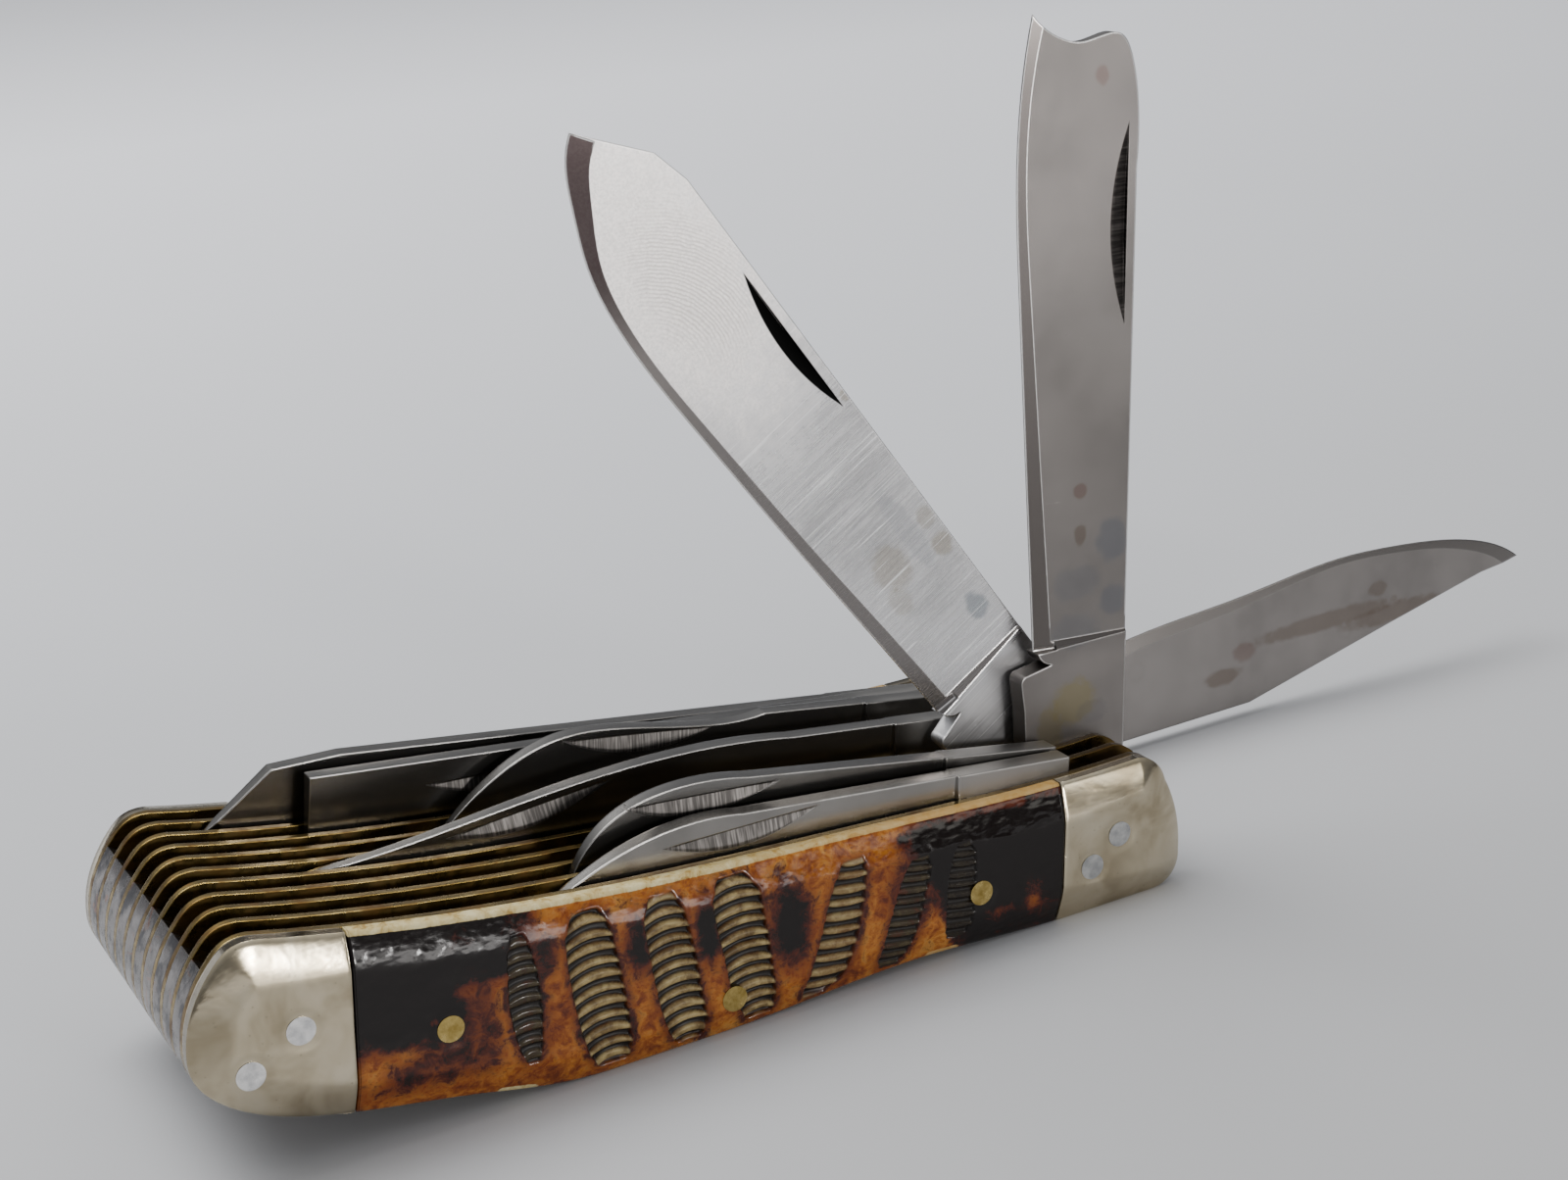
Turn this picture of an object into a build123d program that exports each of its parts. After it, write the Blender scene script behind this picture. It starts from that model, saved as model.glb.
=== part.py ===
from build123d import *

# Ten-blade whittling pocket knife, millimetres.
#
# The knife stands on its back. +X runs along the handle from the butt to the pivot end, +Z is up,
# out of the blade slots, and -Y is the side that carries the nail nicks. The origin is the middle
# of the short flat on the back, half way through the thickness of the handle.
import math
import os

os.makedirs("parts", exist_ok=True)

# ---- driving dimensions ------------------------------------------------------------------------
BAYS = 10                    # one blade and one backspring in each
LINER_T = 0.76               # brass liner sheet
SPRING_T = 2.38              # backspring, and the width of each blade slot
BLADE_T = 2.24               # blade tang, thinner than its slot so that it turns freely
PITCH = LINER_T + SPRING_T
SIDE_T = 2.50                # bolsters and scales, outside the outer liners
CORE_HALF = BAYS * PITCH / 2 + LINER_T / 2

PIVOT = (52.6, 8.2)          # axis of every blade
BUTT_PIN = (-39.2, 11.6)     # rivet through the butt of the springs
CENTRE_PIN = (7.4, 3.9)      # rivet through the middle of the springs
BUTT_RIVET = (-34.3, 14.4)   # short rivets through one bolster and its liner
PIVOT_RIVET = (49.1, 5.5)
SCALE_PINS = ((-20.9, 10.1), (35.6, 6.6))
STEEL_PIN_R = 1.34
BRASS_PIN_R = 1.30
TURN_GAP = 0.05              # radial room round the pivot pin in a blade

CROWN_IN = 3.0               # bevel round the outside of bolsters and scales
CROWN_DOWN = 1.25
BACK_FLAT = 5.5              # half length of the flat under the origin
BUTT_JOINT = ((-28.8, 22.0), (-30.3, 3.5))
PIVOT_JOINT = ((46.3, 15.1), (45.1, 0.0))

TANG_R = 4.9                 # round end of the tang about the pivot
SPRING_TO_PIVOT = 5.05       # spring face below the pivot
STEP_L = 4.5                 # notch in the tang that takes the end of the spring
SPRING_END_X = 56.7
OPEN_TILT = 0.6              # an open blade rises this much towards its tip
KICK_SPRING_Z = 4.3          # spring face under the kick
KICK_GAP = 0.10
KICK_L = (11.2, 14.3)        # the part of the tang that rests near the spring when shut
CHOIL = (15.9, -2.1)
HEEL = (17.3, -3.8)

PLUNGE_L = 18.2              # where the hollow of the ground faces begins
PLUNGE_SLOPE = 1.2           # run of the plunge for each millimetre of its height
SPINE_STEP = 0.10            # ground face below the tang face at the spine
EDGE_HALF_T = 0.42           # half thickness of the ground blade, GRIND_SPAN below the spine
GRIND_SPAN = 13.0
DISTAL_TAPER = 0.06          # degrees that each ground face closes in towards the tip
BEVEL_W = 1.60               # width of the sharpened bevel, and half thickness left at its edge
EDGE_LEFT = 0.06
NICK_DEPTH = 0.40

# Each blade: bay counted from the far side, tilt when shut, degrees it stands open at rest, points
# along the spine from the tang to the tip (the first few joined by straight lines, the rest by a
# smooth curve), points along the edge from the tip back to the heel, and the middle, tilt, half
# length and width of its nick. Points are (along the blade, above the pivot line) from the pivot.
BLADES = {
    "clip_point": dict(
        bay=1, tilt=8.0, opened=180 - 8.0 - OPEN_TILT, straight=3,
        spine=[(42.5, 6.9), (64.7, 2.3), (80.3, -0.8), (86.9, -1.4)],
        edge=[(83.5, -3.6), (78.7, -5.4), (65.7, -7.5), (58.2, -7.9), (42.2, -6.6), (25.7, -5.4)],
        nick=None),
    "sheepsfoot": dict(
        bay=2, tilt=8.5, opened=0, straight=3,
        spine=[(73.4, 7.6), (80.4, 6.8), (87.4, 0.4)],
        edge=[(84.0, -2.0), (76.0, -3.8), (56.0, -4.5)], nick=(61.0, 5.4, -3.0, 8.2, 1.9)),
    "square_chisel": dict(
        bay=3, tilt=6.8, opened=0, straight=2,
        spine=[(77.4, 9.0), (77.9, -3.6)],
        edge=[(66.0, -4.4), (48.0, -4.5)], nick=(57.3, 6.7, -2.0, 8.2, 1.9)),
    "drop_point": dict(
        bay=4, tilt=9.1, opened=0, straight=1,
        spine=[(30.0, 8.9), (45.5, 8.8), (53.9, 8.2), (59.9, 4.9), (66.6, -2.6)],
        edge=[(58.0, -4.4), (40.0, -4.5)], nick=(44.5, 8.0, 0.0, 8.2, 1.9)),
    "detail_pen": dict(
        bay=5, tilt=6.0, opened=0, straight=1,
        spine=[(40.0, 6.0), (56.0, 3.4), (70.0, -1.6)],
        edge=[(60.0, -3.9), (40.0, -4.3)], nick=None),
    "long_point": dict(
        bay=6, tilt=7.8, opened=0, straight=1,
        spine=[(30.0, 9.0), (43.6, 8.7), (59.3, 6.0), (70.0, 3.5), (82.0, 1.5)],
        edge=[(80.0, -0.6), (70.0, -3.0), (50.0, -4.4)], nick=(59.1, 5.1, -13.0, 8.2, 1.9)),
    "spey": dict(
        bay=7, tilt=8.0, opened=48.6, straight=3,
        spine=[(79.7, 8.6), (83.8, 7.6), (90.4, 2.6)],
        edge=[(88.5, 0.5), (84.8, -1.6), (79.8, -3.8), (74.0, -5.0), (60.3, -5.3), (40.3, -4.7)],
        nick=(60.2, 7.5, 0.0, 8.8, 1.2)),
    "fishtail": dict(
        bay=8, tilt=8.0, opened=180 - 8.0 - 86.5, straight=1,
        spine=[(66.7, 7.3), (77.6, 6.4), (79.5, 5.2), (79.0, 0.5), (79.4, -1.6), (81.8, -4.9)],
        edge=[(76.2, -5.9), (66.2, -6.5), (54.4, -6.0), (34.0, -4.8)],
        nick=(60.9, 6.2, 0.0, 10.0, 1.9)),
    "curved_sheepsfoot": dict(
        bay=9, tilt=10.0, opened=0, straight=1,
        spine=[(40.4, 7.7), (50.2, 6.8), (54.4, 4.8), (58.6, -2.8)],
        edge=[(48.0, -4.4), (34.0, -4.4)], nick=(45.5, 6.3, -5.0, 8.2, 1.9)),
    "pen": dict(
        bay=10, tilt=6.3, opened=0, straight=1,
        spine=[(42.0, 8.0), (51.0, 7.3), (58.0, 4.5), (66.0, -1.6)],
        edge=[(56.0, -4.2), (38.0, -4.5)], nick=(42.3, 6.6, -6.0, 8.2, 1.9)),
}


def liner_y(number):
    """Middle of a liner; 1 is the far one."""
    return (BAYS / 2 + 1 - number) * PITCH


def bay_y(number):
    """Middle of a blade slot; 1 is the far one."""
    return (BAYS / 2 + 0.5 - number) * PITCH


def side_plane(y):
    """Sketch plane across the knife, local x along +X, local y along +Z."""
    return Plane(origin=(0, y, 0), x_dir=(1, 0, 0), z_dir=(0, -1, 0))


def add_frame_outline():
    """The outline that liners, springs, bolsters and scales share, drawn in a BuildLine."""
    top = Spline((-37.0, 23.5), (-20.0, 20.2), (2.0, 17.7), (26.0, 16.2), (46.0, 15.2), (56.2, 15.3))
    corner = ThreePointArc(top @ 1, (58.3, 14.2), (59.5, 12.0))
    end = ThreePointArc(corner @ 1, (60.9, 7.5), (61.0, 3.6))
    heel = ThreePointArc(end @ 1, (60.0, 1.0), (57.6, 0.0))
    land = Line(heel @ 1, (48.0, 0.0))
    sway = Spline(land @ 1, (29.0, 0.9), (BACK_FLAT, 0.0), tangents=((-1, 0), (-1, 0)))
    flat = Line(sway @ 1, (-BACK_FLAT, 0.0))
    belly = Spline(flat @ 1, (-19.5, 2.2), (-33.0, 4.9), (-41.4, 8.8), (-44.1, 14.0),
                   tangents=((-1, 0), (0.05, 1)))
    Spline(belly @ 1, (-43.2, 18.1), (-40.6, 22.1), top @ 0, tangents=((0.05, 1), (1, -0.12)))


def bore(at, radius):
    """A round hole, inside a BuildSketch."""
    with Locations(at):
        Circle(radius, mode=Mode.SUBTRACT)


def save(part, name):
    part.label = name
    export_step(part, f"parts/{name}.step")


def make_liner(number):
    with BuildPart() as liner:
        with BuildSketch(side_plane(liner_y(number))):
            with BuildLine():
                add_frame_outline()
            make_face()
            bore(PIVOT, STEEL_PIN_R)
            bore(BUTT_PIN, STEEL_PIN_R)
            bore(CENTRE_PIN, BRASS_PIN_R)
            if number in (1, BAYS + 1):
                bore(BUTT_RIVET, STEEL_PIN_R)
                bore(PIVOT_RIVET, STEEL_PIN_R)
                for at in SCALE_PINS:
                    bore(at, BRASS_PIN_R)
        extrude(amount=LINER_T / 2, both=True)
    save(liner.part, f"liner_{number:02d}")


def make_spring(number):
    """Backspring: flush with the back and the butt, thin under the tangs, deep at the butt."""
    face_z = PIVOT[1] - SPRING_TO_PIVOT
    with BuildPart() as spring:
        with BuildSketch(side_plane(bay_y(number))):
            with BuildLine():
                add_frame_outline()
            make_face()
            with BuildLine():
                inner = Spline((-39.9, 19.6), (-38.4, 15.4), (-35.6, 12.0), (-30.0, 9.2), (-18.0, 6.9),
                               (0.0, 5.9), (12.0, 5.6), (26.0, 5.0), (36.0, KICK_SPRING_Z))
                rest = Line(inner @ 1, (41.0, KICK_SPRING_Z))
                ramp = Line(rest @ 1, (46.0, face_z))
                face = Line(ramp @ 1, (SPRING_END_X, face_z))
                Polyline(face @ 1, (SPRING_END_X, -5), (70, -5), (70, 40), (-41.4, 40), (-41.4, 21.2))
                RadiusArc((-41.4, 21.2), inner @ 0, 2.4)
            make_face(mode=Mode.SUBTRACT)
            bore(BUTT_PIN, STEEL_PIN_R)
            bore(CENTRE_PIN, BRASS_PIN_R)
        extrude(amount=SPRING_T / 2, both=True)
    save(spring.part, f"backspring_{number:02d}")


def cut_beyond(joint, toward):
    """Remove everything on one side of a slanted bolster joint, inside a BuildSketch."""
    (x1, z1), (x2, z2) = joint
    slope = (x1 - x2) / (z1 - z2)
    high = (x1 + slope * (40 - z1), 40)
    low = (x1 + slope * (-10 - z1), -10)
    Polygon(high, low, (toward * 90, -10), (toward * 90, 40), align=None, mode=Mode.SUBTRACT)


def make_side(name, side, butt_joint, pivot_joint, bores):
    """A bolster or a scale: one stretch of the slab that covers an outer liner."""
    with BuildPart() as slab:
        with BuildSketch(side_plane(side * CORE_HALF)):
            with BuildLine():
                add_frame_outline()
            make_face()
            if butt_joint:
                cut_beyond(butt_joint, -1)
            if pivot_joint:
                cut_beyond(pivot_joint, 1)
        extrude(amount=-side * SIDE_T)
        outside = slab.faces().sort_by(Axis.Y)[-1 if side > 0 else 0]
        rim = outside.edges().filter_by(lambda edge: edge.geom_type != GeomType.LINE or (edge % 0.5).Z ** 2 < 0.5)
        chamfer(rim, length=CROWN_IN, length2=CROWN_DOWN, reference=outside)
        with BuildSketch(side_plane(side * CORE_HALF)):
            for at, radius in bores:
                with Locations(at):
                    Circle(radius)
        extrude(amount=-side * SIDE_T, mode=Mode.SUBTRACT)
    save(slab.part, name)


def make_pin(name, at, radius, start, end):
    with BuildPart() as pin:
        with BuildSketch(side_plane(start)):
            with Locations(at):
                Circle(radius)
        extrude(amount=start - end)
    save(pin.part, name)


def shut_height(blade, length):
    """Height in the blade of the line that lies KICK_GAP above the spring when it is shut."""
    tilt = math.radians(blade["tilt"])
    reach = PIVOT[1] - KICK_SPRING_Z - KICK_GAP
    return -(reach + length * math.sin(tilt)) / math.cos(tilt)


def add_blade_outline(blade):
    """Tang, spine and cutting edge as one closed outline, drawn in a BuildLine."""
    spine = blade["spine"]
    corners = blade["straight"]
    Polyline((STEP_L, TANG_R), (STEP_L, spine[0][1]), *spine[:corners])
    if corners < len(spine):
        Spline(*spine[corners - 1:])
    Spline(spine[-1], *blade["edge"], HEEL)
    ThreePointArc(HEEL, (16.3, -3.1), CHOIL)
    foot = (KICK_L[0], shut_height(blade, KICK_L[0]))
    toe = (KICK_L[1], shut_height(blade, KICK_L[1]))
    front = Line(CHOIL, (15.2, toe[1] + 0.8))
    ThreePointArc(front @ 1, (14.95, toe[1] + 0.22), toe)
    Polyline(toe, foot, (0, -TANG_R))
    ThreePointArc((0, -TANG_R), (-TANG_R, 0), (0, TANG_R))
    Line((0, TANG_R), (STEP_L, TANG_R))


def bevel_section(side):
    """What sharpening takes off one side: (across the blade, in from the cutting edge)."""
    slope = (EDGE_HALF_T - EDGE_LEFT) / BEVEL_W
    outer = (side * (EDGE_LEFT - 0.4 * slope), -0.4)
    inner = (side * (EDGE_LEFT + 2.4 * slope), 2.4)
    return outer, inner, (side * 2, 2.4), (side * 2, -0.4), outer


def make_blade(name, blade):
    angle = math.radians(180 - blade["tilt"] - blade["opened"])
    y = bay_y(blade["bay"])
    rest = Plane(origin=(PIVOT[0], y, PIVOT[1]), x_dir=(math.cos(angle), 0, math.sin(angle)),
                 z_dir=(0, 1, 0))
    spine = blade["spine"]
    spine_h = spine[0][1]
    with BuildPart() as solid:
        with BuildSketch(rest):
            with BuildLine():
                add_blade_outline(blade)
            make_face()
            Circle(STEEL_PIN_R + TURN_GAP, mode=Mode.SUBTRACT)
        extrude(amount=BLADE_T / 2, both=True)
        for side in (-1, 1):
            # Ground face: the two close in from the spine to the edge and from the tang to the tip.
            half = BLADE_T / 2 - SPINE_STEP
            lean = math.degrees(math.atan2(half - EDGE_HALF_T, GRIND_SPAN))
            grind = rest * Location((PLUNGE_L, spine_h + 2, side * half))
            grind = grind * Rotation(90 + side * lean, 0, 0) * Rotation(0, 0, -side * DISTAL_TAPER)
            with BuildSketch(grind):
                with BuildLine():
                    Polyline((0, 0), (90, 0), (90, side * 3), (-3 * PLUNGE_SLOPE, side * 3), (0, 0))
                make_face()
            extrude(amount=24, mode=Mode.SUBTRACT)
        with BuildLine(rest) as cutting:
            Spline(HEEL, *reversed(blade["edge"]), spine[-1])
        for side in (-1, 1):
            # Sharpened bevel, swept along the cutting edge from the heel to the tip.
            start = cutting.line @ 0
            with BuildSketch(Plane(origin=start, x_dir=(0, -1, 0), z_dir=cutting.line % 0)):
                with BuildLine():
                    Polyline(*bevel_section(side))
                make_face()
            sweep(path=cutting.line, mode=Mode.SUBTRACT)
        if blade["nick"]:
            nick_l, nick_h, slant, nick_half, nick_w = blade["nick"]
            inset = (spine_h + 2 - nick_h) * math.tan(math.radians(lean))
            inset += (nick_l - PLUNGE_L) * math.tan(math.radians(DISTAL_TAPER))
            wheel_r = (nick_half ** 2 + NICK_DEPTH ** 2) / (2 * NICK_DEPTH)
            out = half - inset + wheel_r - NICK_DEPTH
            with Locations(rest * Location((nick_l, nick_h, -out), (0, 0, slant)) * Rotation(90, 0, 0)):
                Cone(wheel_r, wheel_r - 2 * NICK_DEPTH, 2 * nick_w, mode=Mode.SUBTRACT,
                     align=(Align.CENTER, Align.CENTER, Align.MIN))
    save(solid.part, f"blade_{name}")


for number in range(1, BAYS + 2):
    make_liner(number)
for number in range(1, BAYS + 1):
    make_spring(number)

for where, side in (("rear", 1), ("front", -1)):
    make_side(f"butt_bolster_{where}", side, None, BUTT_JOINT,
              [(BUTT_PIN, STEEL_PIN_R), (BUTT_RIVET, STEEL_PIN_R)])
    make_side(f"scale_{where}", side, BUTT_JOINT, PIVOT_JOINT,
              [(CENTRE_PIN, BRASS_PIN_R)] + [(at, BRASS_PIN_R) for at in SCALE_PINS])
    make_side(f"pivot_bolster_{where}", side, PIVOT_JOINT, None,
              [(PIVOT, STEEL_PIN_R), (PIVOT_RIVET, STEEL_PIN_R)])
    outer = side * (CORE_HALF + SIDE_T)
    inner = side * (CORE_HALF - LINER_T)
    make_pin(f"butt_rivet_{where}", BUTT_RIVET, STEEL_PIN_R, inner, outer)
    make_pin(f"pivot_rivet_{where}", PIVOT_RIVET, STEEL_PIN_R, inner, outer)
    make_pin(f"scale_pin_butt_{where}", SCALE_PINS[0], BRASS_PIN_R, inner, outer)
    make_pin(f"scale_pin_pivot_{where}", SCALE_PINS[1], BRASS_PIN_R, inner, outer)

whole = CORE_HALF + SIDE_T
make_pin("pivot_pin", PIVOT, STEEL_PIN_R, whole, -whole)
make_pin("butt_pin", BUTT_PIN, STEEL_PIN_R, whole, -whole)
make_pin("centre_pin", CENTRE_PIN, BRASS_PIN_R, whole, -whole)

for name, blade in BLADES.items():
    make_blade(name, blade)
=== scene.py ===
import math

import bpy
import numpy as np
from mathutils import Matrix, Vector


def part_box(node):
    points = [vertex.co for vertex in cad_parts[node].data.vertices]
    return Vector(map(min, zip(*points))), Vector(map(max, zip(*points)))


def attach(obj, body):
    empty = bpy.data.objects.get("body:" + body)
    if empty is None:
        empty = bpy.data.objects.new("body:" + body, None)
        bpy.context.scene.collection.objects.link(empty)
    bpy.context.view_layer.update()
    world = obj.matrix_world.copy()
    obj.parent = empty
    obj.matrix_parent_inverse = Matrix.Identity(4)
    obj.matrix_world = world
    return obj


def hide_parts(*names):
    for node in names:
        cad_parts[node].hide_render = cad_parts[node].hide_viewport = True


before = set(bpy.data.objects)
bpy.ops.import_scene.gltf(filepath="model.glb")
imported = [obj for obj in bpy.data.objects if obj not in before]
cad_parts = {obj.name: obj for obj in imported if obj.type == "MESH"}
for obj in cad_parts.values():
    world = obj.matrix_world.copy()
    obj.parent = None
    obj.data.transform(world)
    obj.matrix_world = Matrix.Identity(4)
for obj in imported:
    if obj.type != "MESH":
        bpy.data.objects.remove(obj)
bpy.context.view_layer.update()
MM = 0.001
SHEAR = 0.0806                     # run of the bolster joints in X for each unit of height
PIVOT = (0.0526, 0.0082)           # where every blade turns, in X and Z


# ---- node helpers --------------------------------------------------------------------------------
class Look:
    """A procedural material with a Principled shader, built node by node."""

    def __init__(self, name, rough, metal, **constants):
        self.material = bpy.data.materials.new(name)
        self.material.use_nodes = True
        self.nodes = self.material.node_tree.nodes
        self.links = self.material.node_tree.links
        self.shader = self.nodes["Principled BSDF"]
        self.shader.inputs["Roughness"].default_value = rough
        self.shader.inputs["Metallic"].default_value = metal
        for socket, value in constants.items():
            self.shader.inputs[socket.replace("_", " ")].default_value = value

    def link(self, source, target):
        self.links.new(source, target)

    def put(self, value, socket):
        """Feed a socket from another socket or from a plain value."""
        if isinstance(value, bpy.types.NodeSocket):
            self.links.new(value, socket)
        elif isinstance(value, tuple) and len(value) == 3 and socket.type == "RGBA":
            socket.default_value = (*value, 1)
        else:
            socket.default_value = value

    def math(self, kind, a, b=0.0, c=0.0):
        """One number operation on sockets or plain numbers."""
        node = self.nodes.new("ShaderNodeMath")
        node.operation = kind
        for value, socket in zip((a, b, c), node.inputs):
            self.put(value, socket)
        return node.outputs[0]

    def vector(self, kind, *values, result="Vector"):
        """One vector operation on sockets or plain triples."""
        node = self.nodes.new("ShaderNodeVectorMath")
        node.operation = kind
        for value, socket in zip(values, node.inputs):
            self.put(value, socket)
        return node.outputs[result]

    def split(self, vector):
        """The X, Y and Z of a vector."""
        node = self.nodes.new("ShaderNodeSeparateXYZ")
        self.link(vector, node.inputs[0])
        return tuple(node.outputs)

    def stretch(self, vector, factors):
        return self.vector("MULTIPLY", vector, factors)

    def place(self, scale=(1, 1, 1), turn=(0, 0, 0)):
        """Object coordinates in millimetres, turned and then stretched."""
        coord = self.nodes.new("ShaderNodeTexCoord")
        rotate = self.nodes.new("ShaderNodeVectorRotate")
        rotate.rotation_type = "EULER_XYZ"
        rotate.inputs["Rotation"].default_value = turn
        self.link(coord.outputs["Object"], rotate.inputs["Vector"])
        return self.stretch(rotate.outputs["Vector"], tuple(1000 * s for s in scale))

    def along_blade(self, angle):
        """Millimetres along the blade from its pivot, sideways, and up towards its spine."""
        turned = self.place(turn=(0, math.radians(angle), 0))
        cos, sin = math.cos(math.radians(angle)), math.sin(math.radians(angle))
        x, z = PIVOT
        shift = (-1000 * (x * cos + z * sin), 0, 1000 * (z * cos - x * sin))
        return self.vector("MULTIPLY_ADD", turned, (1, 1, -1), shift)

    def noise(self, vector, scale, detail=3, rough=.55, twist=0):
        """Cloudy noise, from about .3 to .7."""
        node = self.nodes.new("ShaderNodeTexNoise")
        node.inputs["Scale"].default_value = scale
        node.inputs["Detail"].default_value = detail
        node.inputs["Roughness"].default_value = rough
        node.inputs["Distortion"].default_value = twist
        self.link(vector, node.inputs["Vector"])
        return node.outputs["Fac"]

    def cells(self, vector, scale):
        """Distance to the nearest of many scattered points."""
        node = self.nodes.new("ShaderNodeTexVoronoi")
        node.inputs["Scale"].default_value = scale
        self.link(vector, node.inputs["Vector"])
        return node.outputs["Distance"]

    def span(self, value, low, high, to_low=0.0, to_high=1.0):
        """A soft step that goes from one value at low to another at high."""
        node = self.nodes.new("ShaderNodeMapRange")
        node.interpolation_type = "SMOOTHSTEP"
        for item, socket in zip((value, low, high, to_low, to_high), node.inputs):
            self.put(item, socket)
        return node.outputs["Result"]

    def ramp(self, value, *stops):
        """A colour for each value, from (value, colour) stops."""
        node = self.nodes.new("ShaderNodeValToRGB")
        ramp = node.color_ramp
        while len(ramp.elements) < len(stops):
            ramp.elements.new(.5)
        for element, (at, color) in zip(ramp.elements, stops):
            element.position = at
            element.color = (*color, 1)
        self.link(value, node.inputs["Fac"])
        return node.outputs["Color"]

    def mix(self, factor, a, b):
        """Colour a where the factor is 0, and colour b where it is 1."""
        node = self.nodes.new("ShaderNodeMix")
        node.data_type = "RGBA"
        self.put(factor, node.inputs["Factor"])
        self.put(a, node.inputs["A"])
        self.put(b, node.inputs["B"])
        return node.outputs["Result"]

    def attribute(self, name):
        """A value that the mesh carries at each of its points."""
        node = self.nodes.new("ShaderNodeAttribute")
        node.attribute_name = name
        return node.outputs["Fac"]

    def color(self, value):
        self.put(value, self.shader.inputs["Base Color"])

    def rough(self, value):
        self.put(value, self.shader.inputs["Roughness"])

    def true_normal(self):
        return self.nodes.new("ShaderNodeNewGeometry").outputs["True Normal"]

    def facing(self):
        """How squarely the surface faces sideways, 0 on a spine and 1 on a flat side."""
        return self.math("ABSOLUTE", self.split(self.true_normal())[1])

    def blot(self, vector, centre, radii, wander, edge=.25):
        """A soft irregular patch round a place, 1 inside and 0 outside."""
        shrink = (1 / radii[0], 0, 1 / radii[1])
        shift = (-centre[0] / radii[0], 0, -centre[1] / radii[1])
        near = self.vector("MULTIPLY_ADD", vector, shrink, shift)
        reach = self.vector("LENGTH", near, result="Value")
        ragged = self.math("MULTIPLY_ADD", wander, .9, self.math("ADD", reach, -.45))
        return self.span(ragged, 1 + edge, 1 - edge)

    def soft_edges(self, radius):
        """Normals rounded over the edges of a hard-edged part."""
        node = self.nodes.new("ShaderNodeBevel")
        node.samples = 8
        node.inputs["Radius"].default_value = radius
        return node.outputs["Normal"]

    def bump(self, height, strength, distance, base=None):
        """Small relief on the shader, over the base normals if there are any."""
        node = self.nodes.new("ShaderNodeBump")
        node.inputs["Strength"].default_value = strength
        node.inputs["Distance"].default_value = distance
        self.link(height, node.inputs["Height"])
        if base is not None:
            self.link(base, node.inputs["Normal"])
        self.link(node.outputs["Normal"], self.shader.inputs["Normal"])
        return node.outputs["Normal"]


# ---- materials -------------------------------------------------------------------------------------
# Places on a blade are in millimetres from its pivot: along it, and up towards its spine.
GRIND_TO_TANG = (18, 15)
PLUNGE_LINE = 18.4
SPOT_TONE = (.13, .12, .11)
FINGERPRINT_TONE = (.50, .45, .42)
# Colour of the painted highlight along the blade edges.
EDGE_HIGHLIGHT_TONE = (.92, .91, .90)


def brushed(look, here, brush, fine, tint, grain, spots):
    """The steel's colour from its tint, which for most blades is darkened as painted shade: cloudy, with
    fine bright brush lines and faint rings of dried water.
    """
    cloud = look.noise(here, .09, 3, .55)
    tone = look.math("MULTIPLY_ADD", brush, .45 * grain,
                     look.math("MULTIPLY_ADD", cloud, .55, .225 * (1 - grain)))
    color = look.ramp(tone, (.36, tuple(c * .74 for c in tint)), (.50, tint),
                      (.64, tuple(min(1, c * 1.16) for c in tint)))
    line = look.span(fine, .60, .72)
    color = look.mix(look.math("MULTIPLY", line, .3 * grain), color, tuple(min(1, c * 1.6) for c in tint))
    spot = look.cells(here, .15)
    ring = look.math("MULTIPLY", look.span(spot, .12, .17), look.span(spot, .24, .19))
    return look.mix(look.math("MULTIPLY", ring, .25 * spots), color, SPOT_TONE)


def frost_and_sheen(look, at, here, ragged, frost_sheen, color, rough):
    """Color and roughness with a pale frosty patch, painted near white so that it is partly a painted
    sheen, a fingerprint in it and bright scratches round it.
    """
    centre, radii, white = frost_sheen
    bloom_and_sheen = look.blot(at, centre, radii, ragged, .5)
    grit = look.noise(here, 3.4, 3, .75)
    # Partly painted sheen: the frosty patch is mixed towards a near-white tone.
    color = look.mix(bloom_and_sheen, color, look.ramp(grit, (.38, tuple(c * .80 for c in white)), (.60, white)))
    rough = look.math("MULTIPLY_ADD", bloom_and_sheen, .22, rough)
    whorl_centre = (centre[0] - 9, 0, centre[1] - 8)
    away = look.vector("DISTANCE", at, whorl_centre, result="Value")
    whorl = look.math("SINE", look.math("MULTIPLY_ADD", away, 19, look.math("MULTIPLY", ragged, 9)))
    finger = look.blot(at, (centre[0] - 4, centre[1] + 1.5), (7.5, 4.5), ragged, .5)
    whorl = look.math("MULTIPLY", look.span(whorl, -.2, .7), finger)
    color = look.mix(look.math("MULTIPLY", whorl, .55), color, FINGERPRINT_TONE)
    scratch = look.span(look.noise(look.stretch(here, (3.4, 1, .05)), 1, 1, .5), .675, .69, 0, .8)
    color = look.mix(look.math("MULTIPLY", scratch, look.math("SUBTRACT", 1, bloom_and_sheen)), color, (1, 1, 1))
    return color, rough


def paint_edge_highlight(look, edges, square, along, up, tang, plunge):
    """Painted highlight along the edges of the flat sides: less on the tang, and the plunge factor of it
    at the plunge line.
    """
    bend = look.vector("DOT_PRODUCT", edges, look.true_normal(), result="Value")
    edge_highlight = look.math("MULTIPLY", look.span(bend, .9990, .9962), look.span(square, .90, .93))
    edge_highlight = look.math("MULTIPLY", edge_highlight, look.math("MULTIPLY_ADD", tang, -.7, 1))
    off_plunge = look.span(look.math("ABSOLUTE", look.math("SUBTRACT", along, PLUNGE_LINE)), 1.0, 1.5)
    low_down = look.span(up, -2.8, -3.6)
    keep = look.math("MAXIMUM", look.math("MAXIMUM", off_plunge, low_down), plunge)
    return look.math("MULTIPLY", edge_highlight, keep)


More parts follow.
